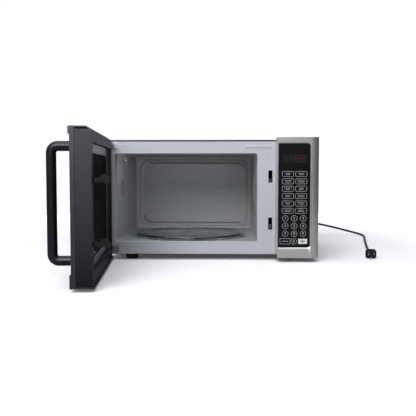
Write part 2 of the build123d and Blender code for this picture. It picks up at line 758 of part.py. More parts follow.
fixed = {
    "front_plate": front_plate, "cavity_liner": cavity_liner, "outer_cover": outer_cover,
    "back_panel": back_panel, "base_plate": base_plate, "cover_screws": cover_screws,
    "feet": feet, "control_panel_housing": control_panel_housing, "keypad_overlay": keypad_overlay,
    "display_window": display_window, "display_module": display_module, "control_board": control_board,
    "board_components": board_components, "door_switches": door_switches,
    "latch_housing": latch_housing, "waveguide": waveguide,
    "waveguide_cover": waveguide_cover, "magnetron_yoke": magnetron_yoke, "magnetron_fins": magnetron_fins,
    "magnetron_antenna": magnetron_antenna, "transformer_core": transformer_core,
    "transformer_windings": transformer_windings, "hv_capacitor": hv_capacitor, "hv_diode": hv_diode,
    "noise_filter_board": noise_filter_board, "fuse": fuse, "thermal_cutout": thermal_cutout,
    "lamp_holder": lamp_holder, "cavity_lamp": cavity_lamp, "turntable_motor": turntable_motor,
    "fan_shroud": fan_shroud, "fan_bracket": fan_bracket, "fan_motor": fan_motor, "fan_blade": fan_blade,
    "fan_shaft": fan_shaft, "turntable_coupler": turntable_coupler, "glass_tray": glass_tray,
    "roller_ring": roller_ring, "strain_relief": strain_relief, "power_cord": power_cord,
    "plug_body": plug_body, "plug_pins": plug_pins,
}
on_door = {
    "door_outer_frame": door_outer_frame, "door_glass": door_glass, "choke_cover": choke_cover,
    "door_metal_frame": metal_frame, "door_screen": door_screen, "window_film": window_film,
    "film_screws": film_screws, "hinge_bushes": hinge_bushes, "latch_hooks": latch_hooks,
    "latch_spring": latch_spring, "door_handle": door_handle, "handle_screws": handle_screws,
}
for name, make in fixed.items():
    save(name, make())
for name, make in on_door.items():
    save(name, opened(make()))
for which in tongues:
    save(which + "_hinge", hinge_plate(which))
for number, angle in enumerate(roller_angles, start=1):
    save("roller_" + str(number), roller(angle))
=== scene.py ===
import json
import math

import bmesh
import bpy
from mathutils import Matrix, Vector


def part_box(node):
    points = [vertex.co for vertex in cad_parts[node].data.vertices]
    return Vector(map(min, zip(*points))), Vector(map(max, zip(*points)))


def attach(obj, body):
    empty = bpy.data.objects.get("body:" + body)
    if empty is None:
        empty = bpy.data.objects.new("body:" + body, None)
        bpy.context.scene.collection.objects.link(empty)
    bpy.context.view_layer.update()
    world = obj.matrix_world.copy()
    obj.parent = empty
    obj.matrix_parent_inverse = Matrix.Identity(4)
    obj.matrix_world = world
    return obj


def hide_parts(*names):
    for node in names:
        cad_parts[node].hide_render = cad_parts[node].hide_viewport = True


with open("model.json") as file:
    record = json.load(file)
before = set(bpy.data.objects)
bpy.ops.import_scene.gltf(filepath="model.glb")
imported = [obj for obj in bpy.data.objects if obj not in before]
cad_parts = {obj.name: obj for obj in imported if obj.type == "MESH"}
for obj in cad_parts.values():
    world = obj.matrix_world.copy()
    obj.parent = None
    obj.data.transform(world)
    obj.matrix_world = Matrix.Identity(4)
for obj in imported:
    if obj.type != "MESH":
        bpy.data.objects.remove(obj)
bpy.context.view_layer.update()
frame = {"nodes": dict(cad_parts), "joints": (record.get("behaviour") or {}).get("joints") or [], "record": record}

MM = 0.001
scene = bpy.context.scene
joints = {joint["name"]: joint for joint in frame["joints"]}
body_members = frame["record"]["behaviour"]["bodies"]
body_of_node = {node: body for body, members in body_members.items() for node in members}
slot_of_node = {part["node"]: part["material_slot"] for part in frame["record"]["subparts"]}

# The door is drawn closed and then turned about its pin to where it stands open.
door_pin = Vector(joints["door_hinge"]["pos_m"])
door_angle = math.radians(joints["door_hinge"]["range_deg"][0])
door_turn = Matrix.Rotation(door_angle, 4, "Z")
door_place = Matrix.Translation(door_pin) @ door_turn @ Matrix.Translation(-door_pin)


# ================================================================ the helper that every section uses
def mesh_object(name, verts, faces, smooth=True):
    """A new object in the scene, from its points and faces."""
    mesh = bpy.data.meshes.new(name)
    mesh.from_pydata([tuple(v) for v in verts], [], faces)
    for face in mesh.polygons:
        face.use_smooth = smooth
    piece = bpy.data.objects.new(name, mesh)
    scene.collection.objects.link(piece)
    return piece


# ================================================================ camera, floor and light
def make_camera():
    data = bpy.data.cameras.new("camera")
    data.lens = 53.16
    data.sensor_width = 36.0
    camera = bpy.data.objects.new("camera", data)
    camera.location = (29.8 * MM, -1727.4 * MM, 222.0 * MM)
    pitch_down = 3.46
    aim_left = 1.39
    camera.rotation_euler = (math.radians(90 - pitch_down), 0, math.radians(aim_left))
    scene.collection.objects.link(camera)
    scene.camera = camera


def make_floor():
    """A pale round floor that glows more towards its rim as painted light seen only by the camera, to blend into
    the white room, and is dimmer in what gloss reflects.
    """
    radius, around = 1.6, 96
    turns = [2 * math.pi * step / around for step in range(around)]
    verts = [(radius * math.cos(turn), radius * math.sin(turn), 0) for turn in turns]
    floor = mesh_object("floor", verts, [tuple(range(around))])
    paper = bpy.data.materials.new("floor_paper")
    paper.use_nodes = True
    tree = paper.node_tree
    shader = tree.nodes["Principled BSDF"]
    shader.inputs["Roughness"].default_value = 0.9
    shader.inputs["Specular IOR Level"].default_value = 0.1
    shader.inputs["Emission Color"].default_value = (1, 1, 1, 1)
    place = tree.nodes.new("ShaderNodeTexCoord")
    away = tree.nodes.new("ShaderNodeVectorMath")
    away.operation = "LENGTH"
    # Painted light: the floor glows for the camera alone, faintly near the middle and more towards its rim.
    glow = tree.nodes.new("ShaderNodeMapRange")
    for label, value in (("From Min", 0.55), ("From Max", radius), ("To Min", 0.05), ("To Max", 0.8)):
        glow.inputs[label].default_value = value
    tree.links.new(place.outputs["Object"], away.inputs[0])
    tree.links.new(away.outputs["Value"], glow.inputs["Value"])
    seen = tree.nodes.new("ShaderNodeLightPath")
    tint = tree.nodes.new("ShaderNodeMixRGB")
    tint.inputs["Color1"].default_value = (0.34, 0.34, 0.35, 1)
    tint.inputs["Color2"].default_value = (0.93, 0.93, 0.935, 1)
    dimmed = tree.nodes.new("ShaderNodeMath")
    dimmed.operation = "MULTIPLY"
    tree.links.new(seen.outputs["Is Camera Ray"], tint.inputs["Fac"])
    tree.links.new(tint.outputs["Color"], shader.inputs["Base Color"])
    tree.links.new(glow.outputs["Result"], dimmed.inputs[0])
    tree.links.new(seen.outputs["Is Camera Ray"], dimmed.inputs[1])
    tree.links.new(dimmed.outputs[0], shader.inputs["Emission Strength"])
    floor.data.materials.append(paper)


def make_world():
    """A white room for the camera; what gloss reflects is darker to the right and below."""
    world = bpy.data.worlds.new("studio")
    scene.world = world
    world.use_nodes = True
    tree = world.node_tree
    tree.nodes.clear()

    def ramp(value, stops):
        node = tree.nodes.new("ShaderNodeValToRGB")
        elements = node.color_ramp.elements
        while len(elements) < len(stops):
            elements.new(0.5)
        for element, (position, colour) in zip(elements, stops):
            element.position, element.color = position, (*colour, 1)
        tree.links.new(value, node.inputs["Fac"])
        return node.outputs["Color"]

    def from_zero(value):
        node = tree.nodes.new("ShaderNodeMapRange")
        node.inputs["From Min"].default_value = -1
        tree.links.new(value, node.inputs["Value"])
        return node.outputs["Result"]

    place = tree.nodes.new("ShaderNodeTexCoord")
    split = tree.nodes.new("ShaderNodeSeparateXYZ")
    tree.links.new(place.outputs["Generated"], split.inputs[0])
    side = ramp(from_zero(split.outputs["X"]), [
        (0.0, (0.50, 0.52, 0.58)), (0.25, (0.62, 0.63, 0.66)), (0.55, (0.55, 0.55, 0.56)),
        (0.80, (0.20, 0.21, 0.27)), (1.0, (0.05, 0.055, 0.10))])
    height = ramp(from_zero(split.outputs["Z"]), [
        (0.0, (0.25, 0.25, 0.25)), (0.47, (0.12, 0.12, 0.125)), (0.53, (0.75, 0.75, 0.75)),
        (0.72, (1.0, 1.0, 1.0)), (1.0, (1.6, 1.6, 1.6))])
    shade = tree.nodes.new("ShaderNodeMixRGB")
    shade.blend_type = "MULTIPLY"
    shade.inputs["Fac"].default_value = 1
    tree.links.new(side, shade.inputs["Color1"])
    tree.links.new(height, shade.inputs["Color2"])
    room = tree.nodes.new("ShaderNodeBackground")
    white = tree.nodes.new("ShaderNodeBackground")
    white.inputs["Color"].default_value = (1, 1, 1, 1)
    seen = tree.nodes.new("ShaderNodeLightPath")
    choose = tree.nodes.new("ShaderNodeMixShader")
    output = tree.nodes.new("ShaderNodeOutputWorld")
    tree.links.new(shade.outputs["Color"], room.inputs["Color"])
    tree.links.new(seen.outputs["Is Camera Ray"], choose.inputs["Fac"])
    tree.links.new(room.outputs[0], choose.inputs[1])
    tree.links.new(white.outputs[0], choose.inputs[2])
    tree.links.new(choose.outputs[0], output.inputs[0])


def area_light(name, place, target, size, power, colour=(1, 1, 1)):
    data = bpy.data.lights.new(name, "AREA")
    data.shape = "RECTANGLE"
    data.size, data.size_y = size
    data.energy = power
    data.color = colour
    lamp = bpy.data.objects.new(name, data)
    lamp.location = place
    lamp.rotation_euler = (Vector(target) - Vector(place)).to_track_quat("-Z", "Y").to_euler()
    scene.collection.objects.link(lamp)
    lamp.visible_camera = False


make_camera()
make_floor()
make_world()
area_light("key_light", (-0.7, -1.5, 1.35), (-0.1, -0.2, 0.2), (0.8, 0.8), 8)
area_light("top_light", (0.1, -0.5, 1.5), (0, 0, 0.15), (1.4, 1.0), 9)
area_light("front_light", (-0.45, -2.2, 1.0), (-0.05, 0, 0.12), (0.8, 0.5), 16)
area_light("cavity_light", (-0.06, -0.17, 0.25), (-0.06, 0.18, 0.10), (0.30, 0.05), 0.17)
scene.view_settings.view_transform = "Standard"


# ================================================================ shader groups
def new_group(name, inputs, outputs):
    """An empty shader group; inputs are (name, kind, value), outputs (name, kind)."""
    kinds = {"value": "NodeSocketFloat", "colour": "NodeSocketColor", "vector": "NodeSocketVector"}
    tree = bpy.data.node_groups.new(name, "ShaderNodeTree")
    for label, kind, value in inputs:
        socket = tree.interface.new_socket(label, in_out="INPUT", socket_type=kinds[kind])
        socket.default_value = value
    for label, kind in outputs:
        tree.interface.new_socket(label, in_out="OUTPUT", socket_type=kinds[kind])
    return tree, tree.nodes.new("NodeGroupInput"), tree.nodes.new("NodeGroupOutput")


def math_node(tree, operation, first, second):
    node = tree.nodes.new("ShaderNodeMath")
    node.operation = operation
    for socket, value in zip(node.inputs, (first, second)):
        if isinstance(value, (int, float)):
            socket.default_value = value
        else:
            tree.links.new(value, socket)
    return node.outputs[0]


def noise_node(tree, vector, scale, detail):
    node = tree.nodes.new("ShaderNodeTexNoise")
    node.inputs["Detail"].default_value = detail
    tree.links.new(vector, node.inputs["Vector"])
    if isinstance(scale, (int, float)):
        node.inputs["Scale"].default_value = scale
    else:
        tree.links.new(scale, node.inputs["Scale"])
    return node.outputs["Fac"]


def finish_group():
    """Coating or moulding: cloudy shade, uneven gloss, a fine raised grain and painted shade by height."""
    tree, given, out = new_group(
        "surface_finish",
        [("Colour", "colour", (0.5, 0.5, 0.5, 1)), ("Shade", "value", 0.06), ("Gloss", "value", 0.4),
         ("Smudge", "value", 0.1), ("Grain Scale", "value", 900.0), ("Grain Depth", "value", 0.00002),
         ("Stretch", "vector", (1, 1, 1)), ("Painted Shade By Height", "value", 0.0)],
        [("Colour", "colour"), ("Roughness", "value"), ("Normal", "vector")])
    place = tree.nodes.new("ShaderNodeTexCoord")
    stretch = tree.nodes.new("ShaderNodeVectorMath")
    stretch.operation = "MULTIPLY"
    tree.links.new(place.outputs["Object"], stretch.inputs[0])
    tree.links.new(given.outputs["Stretch"], stretch.inputs[1])
    cloud = noise_node(tree, place.outputs["Object"], 7.0, 3.0)
    smear = noise_node(tree, place.outputs["Object"], 26.0, 5.0)
    grain = noise_node(tree, stretch.outputs[0], given.outputs["Grain Scale"], 2.0)
    darker = math_node(tree, "SUBTRACT", 1.0, math_node(tree, "MULTIPLY", cloud, given.outputs["Shade"]))
    # Painted shade by height: the colour is scaled by one plus the height above 155 mm (in units of 155 mm) times
    # the given strength, so a positive strength darkens it towards the bottom and a negative one towards the top.
    split = tree.nodes.new("ShaderNodeSeparateXYZ")
    tree.links.new(place.outputs["Object"], split.inputs[0])
    above_middle = math_node(tree, "SUBTRACT", math_node(tree, "DIVIDE", split.outputs["Z"], 0.155), 1.0)
    painted_height_shade = math_node(tree, "ADD", 1.0, math_node(tree, "MULTIPLY", above_middle, given.outputs["Painted Shade By Height"]))
    darker = math_node(tree, "MULTIPLY", darker, painted_height_shade)
    tint = tree.nodes.new("ShaderNodeVectorMath")
    tint.operation = "SCALE"
    tree.links.new(given.outputs["Colour"], tint.inputs[0])
    tree.links.new(darker, tint.inputs["Scale"])
    spread = math_node(tree, "MULTIPLY", math_node(tree, "SUBTRACT", smear, 0.5), given.outputs["Smudge"])
    bump = tree.nodes.new("ShaderNodeBump")
    tree.links.new(grain, bump.inputs["Height"])
    tree.links.new(given.outputs["Grain Depth"], bump.inputs["Distance"])
    tree.links.new(tint.outputs[0], out.inputs["Colour"])
    tree.links.new(math_node(tree, "ADD", given.outputs["Gloss"], spread), out.inputs["Roughness"])
    tree.links.new(bump.outputs["Normal"], out.inputs["Normal"])
    return tree


def perforation_group():
    """A staggered field of round holes in the door's plane, as a mask."""
    tree, given, out = new_group("perforation", [("Pitch", "value", 0.0024), ("Hole", "value", 0.32)],
                                 [("Mask", "value")])
    row_to_hole_pitch = 0.866
    place = tree.nodes.new("ShaderNodeTexCoord")
    turn = tree.nodes.new("ShaderNodeVectorRotate")
    turn.rotation_type = "Z_AXIS"
    turn.inputs["Center"].default_value = door_pin
    turn.inputs["Angle"].default_value = -door_angle
    tree.links.new(place.outputs["Object"], turn.inputs["Vector"])
    split = tree.nodes.new("ShaderNodeSeparateXYZ")
    tree.links.new(turn.outputs[0], split.inputs[0])
    across = math_node(tree, "DIVIDE", split.outputs["X"], given.outputs["Pitch"])
    row_pitch = math_node(tree, "MULTIPLY", given.outputs["Pitch"], row_to_hole_pitch)
    up = math_node(tree, "DIVIDE", split.outputs["Z"], row_pitch)
    row = math_node(tree, "FLOOR", up, 0)
    shifted = math_node(tree, "ADD", across, math_node(tree, "MULTIPLY", row, 0.5))
    away_x = math_node(tree, "SUBTRACT", math_node(tree, "FRACT", shifted, 0), 0.5)
    away_z = math_node(tree, "SUBTRACT", math_node(tree, "FRACT", up, 0), 0.5)
    square = math_node(tree, "ADD", math_node(tree, "MULTIPLY", away_x, away_x),
                       math_node(tree, "MULTIPLY", away_z, away_z))
    distance = math_node(tree, "POWER", square, 0.5)
    tree.links.new(math_node(tree, "LESS_THAN", distance, given.outputs["Hole"]), out.inputs["Mask"])
    return tree


surface_finish = finish_group()
perforation = perforation_group()


# ================================================================ materials
def plain_material(name, colour, **sockets):
    material = bpy.data.materials.new(name)
    material.use_nodes = True
    shader = material.node_tree.nodes["Principled BSDF"]
    shader.inputs["Base Color"].default_value = (*colour, 1)
    for label, value in sockets.items():
        shader.inputs[label.replace("_", " ")].default_value = value
    return material


def finished(name, colour, gloss, smudge=0.1, shade=0.06, grain=900.0, depth=0.02, stretch=(1, 1, 1),
             painted_height_shade=0.0, **sockets):
    """A material with the shared surface finish, including its painted shade by height; depth is in millimetres.
    """
    material = plain_material(name, colour, **sockets)
    tree = material.node_tree
    shader = tree.nodes["Principled BSDF"]
    node = tree.nodes.new("ShaderNodeGroup")
    node.node_tree = surface_finish
    node.inputs["Colour"].default_value = (*colour, 1)
    node.inputs["Shade"].default_value = shade
    node.inputs["Gloss"].default_value = gloss
    node.inputs["Smudge"].default_value = smudge
    node.inputs["Grain Scale"].default_value = grain
    node.inputs["Grain Depth"].default_value = depth * MM
    node.inputs["Stretch"].default_value = stretch
    node.inputs["Painted Shade By Height"].default_value = painted_height_shade
    tree.links.new(node.outputs["Colour"], shader.inputs["Base Color"])
    tree.links.new(node.outputs["Roughness"], shader.inputs["Roughness"])
    tree.links.new(node.outputs["Normal"], shader.inputs["Normal"])
    return material


def perforated(name, sheet_colour, hole_colour, gloss, pitch):
    material = finished(name, sheet_colour, gloss, smudge=0.04, depth=0.002)
    tree = material.node_tree
    shader = tree.nodes["Principled BSDF"]
    mask = tree.nodes.new("ShaderNodeGroup")
    mask.node_tree = perforation
    mask.inputs["Pitch"].default_value = pitch
    shader.inputs["Specular IOR Level"].default_value = 0.02
    mix = tree.nodes.new("ShaderNodeMixRGB")
    mix.inputs["Color1"].default_value = (*sheet_colour, 1)
    mix.inputs["Color2"].default_value = (*hole_colour, 1)
    tree.links.new(mask.outputs["Mask"], mix.inputs["Fac"])
    tree.links.new(mix.outputs["Color"], shader.inputs["Base Color"])
    return material


def glass(name, colour, roughness=0.02):
    return plain_material(name, colour, Roughness=roughness, IOR=1.5, Transmission_Weight=1.0)


materials = {
    "front_enamel": finished("front_enamel", (0.54, 0.55, 0.59), 0.40, 0.12, 0.05, 700, 0.012,
                             Coat_Weight=0.15),
    # Painted shade: cavity_enamel is made lighter towards the bottom of the cavity and darker towards its top.
    "cavity_enamel": finished("cavity_enamel", (0.40, 0.405, 0.42), 0.34, 0.12, 0.08, 500, 0.02, painted_height_shade=-0.12),
    "cover_paint": finished("cover_paint", (0.022, 0.022, 0.025), 0.50, 0.10, 0.15, 1400, 0.06),
    "zinc_sheet": finished("zinc_sheet", (0.52, 0.53, 0.55), 0.42, 0.25, 0.25, 60, 0.004, Metallic=1.0),
    "screw_steel": finished("screw_steel", (0.62, 0.62, 0.63), 0.30, 0.15, 0.1, 900, 0.006, Metallic=1.0),
    "foot_rubber": finished("foot_rubber", (0.02, 0.02, 0.021), 0.75, 0.1, 0.2, 1500, 0.05),
    "panel_plastic": finished("panel_plastic", (0.68, 0.665, 0.635), 0.29, 0.08, 0.04, 2600, 0.008,
                              Metallic=0.8),
    "keypad_film": finished("keypad_film", (0.004, 0.004, 0.0045), 0.20, 0.10, 0.1, 300, 0.002,
                            Specular_IOR_Level=0.25),
    "display_tint": plain_material("display_tint", (0.012, 0.009, 0.009), Roughness=0.08, IOR=1.5,
                                   Transmission_Weight=0.85),
    "display_parts": finished("display_parts", (0.02, 0.02, 0.02), 0.4),
    "circuit_board": finished("circuit_board", (0.02, 0.13, 0.06), 0.3, 0.1, 0.3, 120, 0.01),
    "black_moulding": finished("black_moulding", (0.010, 0.010, 0.011), 0.45, 0.12, 0.2, 1500, 0.03,
                               Specular_IOR_Level=0.2),
    "mica": finished("mica", (0.42, 0.41, 0.39), 0.6, 0.2, 0.3, 90, 0.03),
    "fin_aluminium": finished("fin_aluminium", (0.8, 0.81, 0.82), 0.35, 0.2, 0.1, 80, 0.003, Metallic=1.0),
    "antenna_copper": finished("antenna_copper", (0.75, 0.42, 0.28), 0.3, Metallic=1.0),
    "core_steel": finished("core_steel", (0.10, 0.10, 0.105), 0.5, 0.2, 0.2, 1.0, 0.0, Metallic=0.8),
    "winding_copper": finished("winding_copper", (0.5, 0.2, 0.08), 0.3, 0.2, 0.3, 4.0, 0.1, (1, 1, 300),
                               Metallic=0.9),
    "clear_glass": glass("clear_glass", (0.95, 0.98, 0.97)),
    "lamp_ceramic": finished("lamp_ceramic", (0.80, 0.79, 0.75), 0.6),
    "motor_case": finished("motor_case", (0.6, 0.6, 0.61), 0.35, Metallic=1.0),
    "white_moulding": finished("white_moulding", (0.82, 0.82, 0.80), 0.4, 0.1, 0.04, 1200, 0.01),
    "ring_moulding": finished("ring_moulding", (0.03, 0.03, 0.033), 0.4, 0.1, 0.1, 1200, 0.02),
    "tray_glass": glass("tray_glass", (0.80, 0.92, 0.88), 0.05),
    # Painted shade: door_dark_metal, choke_plastic and door_sheet are made darker towards the bottom of the door
    # and lighter towards its top.
    "door_dark_metal": finished("door_dark_metal", (0.058, 0.060, 0.074), 0.34, 0.12, 0.1, 1800, 0.01,
                                painted_height_shade=0.35, Metallic=0.6),
    "door_pane": plain_material("door_pane", (0.006, 0.006, 0.007), Roughness=0.05, Coat_Weight=0.6),
    "choke_plastic": finished("choke_plastic", (0.040, 0.0385, 0.044), 0.42, 0.12, 0.12, 1600, 0.02,
                              painted_height_shade=0.85, Specular_IOR_Level=0.1),
    "door_sheet": finished("door_sheet", (0.36, 0.365, 0.385), 0.36, 0.15, 0.1, 500, 0.01, painted_height_shade=0.35,
                           Metallic=0.5),
    "screen_black": perforated("screen_black", (0.010, 0.010, 0.011), (0.0005, 0.0005, 0.0005), 0.5, 0.0024),
    "window_gloss": perforated("window_gloss", (0.0020, 0.0020, 0.0025), (0.0005, 0.0005, 0.0006), 0.5,
                               0.0024),
    "handle_satin": finished("handle_satin", (0.030, 0.030, 0.034), 0.30, 0.1, 0.08, 2200, 0.01,
                             Metallic=0.85),
    "lead_sheath": finished("lead_sheath", (0.008, 0.008, 0.010), 0.5, 0.12, 0.15, 1800, 0.02,
                            Specular_IOR_Level=0.25),
    "pin_brass": finished("pin_brass", (0.72, 0.68, 0.55), 0.22, 0.1, 0.1, 500, 0.003, Metallic=1.0),
}
for node, piece in frame["nodes"].items():
    piece.data.materials.clear()
    piece.data.materials.append(materials[slot_of_node[node]])


# ================================================================ mesh helpers
def to_mesh(source, name):
    """The evaluated shape of an object as a new plain mesh object; the source is removed."""
    bpy.context.view_layer.update()
    graph = bpy.context.evaluated_depsgraph_get()
    mesh = bpy.data.meshes.new_from_object(source.evaluated_get(graph), depsgraph=graph)
    mesh.transform(source.matrix_world)
    bpy.data.objects.remove(source)
    piece = bpy.data.objects.new(name, mesh)
    mesh.name = name
    scene.collection.objects.link(piece)
    return piece


def sharpen(piece, angle):
    for face in piece.data.polygons:
        face.use_smooth = True
    piece.data.set_sharp_from_angle(angle=math.radians(angle))


def face_outwards(piece, join_within=0.0):
    """Turn the faces outwards, after points closer together than join_within are joined."""
    work = bmesh.new()
    work.from_mesh(piece.data)
    if join_within:
        bmesh.ops.remove_doubles(work, verts=work.verts, dist=join_within)
    bmesh.ops.recalc_face_normals(work, faces=work.faces)
    work.to_mesh(piece.data)
    work.free()


def place(piece, body, slot, *replaced, on_door=False, material=None):
    """Finish a piece: its material, which is its slot's unless one is given, its body and the nodes that it stands
    for.
    """
    if on_door:
        piece.data.transform(door_place)
    piece.data.materials.clear()
    piece.data.materials.append(material or materials[slot])
    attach(piece, body)
    if replaced:
        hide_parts(*replaced)
    return piece


def box_on_door(node):
    """A door node's lowest and highest corners with the door closed."""
    back = door_place.inverted()
    corners = [back @ vertex.co for vertex in frame["nodes"][node].data.vertices]
    low = Vector([min(corner[axis] for corner in corners) for axis in range(3)])
    high = Vector([max(corner[axis] for corner in corners) for axis in range(3)])
    return low, high


def refined(node, bevel=0.0, angle=35, segments=2):
    """A CAD node's shape with merged faces, smooth curves and softened edges."""
    mesh = frame["nodes"][node].data.copy()
    piece = bpy.data.objects.new(node + "_finished", mesh)
    scene.collection.objects.link(piece)
    work = bmesh.new()
    work.from_mesh(mesh)
    bmesh.ops.remove_doubles(work, verts=work.verts, dist=0.004 * MM)
    bmesh.ops.dissolve_limit(work, angle_limit=math.radians(0.4), verts=work.verts, edges=work.edges)
    work.to_mesh(mesh)
    work.free()
    sharpen(piece, angle)
    if bevel:
        soften = piece.modifiers.new("soft_edges", "BEVEL")
        soften.width = bevel * MM
        soften.segments = segments
        soften.limit_method = "ANGLE"
        soften.angle_limit = math.radians(angle)
        soften.use_clamp_overlap = False
        soften.harden_normals = True
    return place(piece, body_of_node[node], slot_of_node[node], node)


def lathe(name, profile, centre, segments=96, axis="Z"):
    """Turn (radius, height) points about an upright line through the centre."""
    verts, faces = [], []
    for radius, height in profile:
        for step in range(segments):
            turn = 2 * math.pi * step / segments
            verts.append((radius * math.cos(turn), radius * math.sin(turn), height))
    for ring in range(len(profile) - 1):
        for step in range(segments):
            after = (step + 1) % segments
            a, b = ring * segments, (ring + 1) * segments
            faces.append((a + step, a + after, b + after, b + step))
    piece = mesh_object(name, verts, faces)
    face_outwards(piece, 0.001 * MM)
    turn = {"Z": Matrix.Identity(4), "Y": Matrix.Rotation(math.radians(-90), 4, "X"),
            "X": Matrix.Rotation(math.radians(90), 4, "Y")}[axis]
    piece.data.transform(Matrix.Translation(centre) @ turn)
    return piece


def round_tube(name, points, radius, order="POLY", around=10):
    """A round bar along points, capped at both ends."""
    curve = bpy.data.curves.new(name, "CURVE")
    curve.dimensions = "3D"
    curve.bevel_depth = radius
    curve.bevel_resolution = around
    curve.use_fill_caps = True
    spline = curve.splines.new(order)
    spline.points.add(len(points) - 1)
    for point, target in zip(spline.points, points):
        point.co = (*target, 1)
    return bpy.data.objects.new(name, curve)


def bent_path(corners, radius, steps=14):
    """Straight runs joined by round bends."""
    points = [corners[0]]
    for before, corner, after in zip(corners, corners[1:], corners[2:]):
        inward, outward = (before - corner).normalized(), (after - corner).normalized()
        half = inward.angle(outward) / 2
        reach = radius / math.tan(half)
        centre = corner + (inward + outward).normalized() * (radius / math.sin(half))
        start, end = corner + inward * reach - centre, corner + outward * reach - centre
        for step in range(steps + 1):
            points.append(centre + start.slerp(end, step / steps).normalized() * radius)
    return points + [corners[-1]]


def rounded_loop(width, height, radius, steps=10):
    """Points round a rounded rectangle about the origin, (across, up)."""
    points = []
    for quarter, (sx, sz) in enumerate(((1, 1), (-1, 1), (-1, -1), (1, -1))):
        for step in range(steps + 1):
            turn = math.pi / 2 * (quarter + step / steps)
            points.append((sx * (width / 2 - radius) + radius * math.cos(turn),
                           sz * (height / 2 - radius) + radius * math.sin(turn)))
    return points


def bead_loop(name, width, height, radius, profile, to_space):
    """A raised bead round a rounded rectangle; profile is (inset, height above the wall)."""
    verts, faces, count = [], [], 0
    for inset, rise in profile:
        loop = rounded_loop(width - 2 * inset, height - 2 * inset, max(radius - inset, 0.0005))
        count = len(loop)
        verts += [to_space(across, up, rise) for across, up in loop]
    for ring in range(len(profile)):
        after_ring = (ring + 1) % len(profile)
        for step in range(count):
            after = (step + 1) % count
            faces.append((ring * count + step, ring * count + after, after_ring * count + after,
                          after_ring * count + step))
    piece = mesh_object(name, verts, faces)
    face_outwards(piece)
    return piece


# ================================================================ cabinet and door shells
shell_edges = {
    "front_plate": 0.35, "cavity_liner": 0.0, "outer_cover": 0.0, "back_panel": 0.0, "base_plate": 0.0,
    "control_panel_housing": 0.5, "keypad_overlay": 0.15, "display_window": 0.0, "upper_hinge": 0.3,
    "lower_hinge": 0.3, "door_outer_frame": 0.4, "choke_cover": 0.5, "door_metal_frame": 0.25,
    "latch_hooks": 0.5, "roller_ring": 0.4, "roller_1": 0.0, "roller_2": 0.0, "roller_3": 0.0,
    "turntable_coupler": 0.3, "plug_body": 0.0, "plug_pins": 0.0, "film_screws": 0.0,
    "waveguide_cover": 0.15, "door_glass": 0.3, "fan_blade": 0.2, "cover_screws": 0.1,
}
for node, edge in shell_edges.items():
    refined(node, edge)


# ================================================================ handle, tray, lead
def make_handle():
    low, high = box_on_door("door_handle")
    radius = (high.x - low.x) / 2
    middle = (low.x + high.x) / 2
    grip_y, face_y = low.y + radius, high.y
    top, bottom = high.z - radius, low.z + radius
    corners = [Vector((middle, face_y, top)), Vector((middle, grip_y, top)),
               Vector((middle, grip_y, bottom)), Vector((middle, face_y, bottom))]
    tube = round_tube("handle_tube", bent_path(corners, 12.7 * MM), radius, around=14)
    scene.collection.objects.link(tube)
    piece = to_mesh(tube, "handle_tube")
    sharpen(piece, 50)
    place(piece, "door", "handle_satin", "door_handle", on_door=True)


def make_tray():
    low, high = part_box("glass_tray")
    centre = Vector(((low.x + high.x) / 2, (low.y + high.y) / 2, 0))
    radius = (high.x - low.x) / 2
    lug, thick, rise = 5.0 * MM, 4.2 * MM, high.z - low.z
    under = low.z + lug
    flat = radius - 17 * MM
    profile = [(0, under + thick)]
    ridges = 9
    for ridge in range(ridges):
        start = 22 * MM + (flat - 26 * MM) * ridge / ridges
        for across, up in ((0.0, 0.0), (1.2, 0.28), (2.4, 0.4), (3.6, 0.28), (4.8, 0.0)):
            profile.append((start + across * MM, under + thick + up * MM))
    bend = 10
    for step in range(bend + 1):
        turn = math.pi / 2 * step / bend
        across = flat - 2 * MM + 13 * MM * math.sin(turn)
        profile.append((across, under + thick + 4.8 * MM * (1 - math.cos(turn))))
    rim, lip = radius - 2.1 * MM, 2.1 * MM
    for step in range(9):
        turn = math.pi * (1 - step / 8)
        profile.append((rim + lip * math.cos(turn), high.z - lip + lip * math.sin(turn)))
    for step in range(bend + 1):
        turn = math.pi / 2 * (1 - step / bend)
        profile.append((flat + 17 * MM * math.sin(turn), under + 6.4 * MM * (1 - math.cos(turn))))
    profile.append((0, under))
    piece = lathe("turntable_dish", profile, centre, segments=160)
    place(piece, "tray", "tray_glass", "glass_tray")


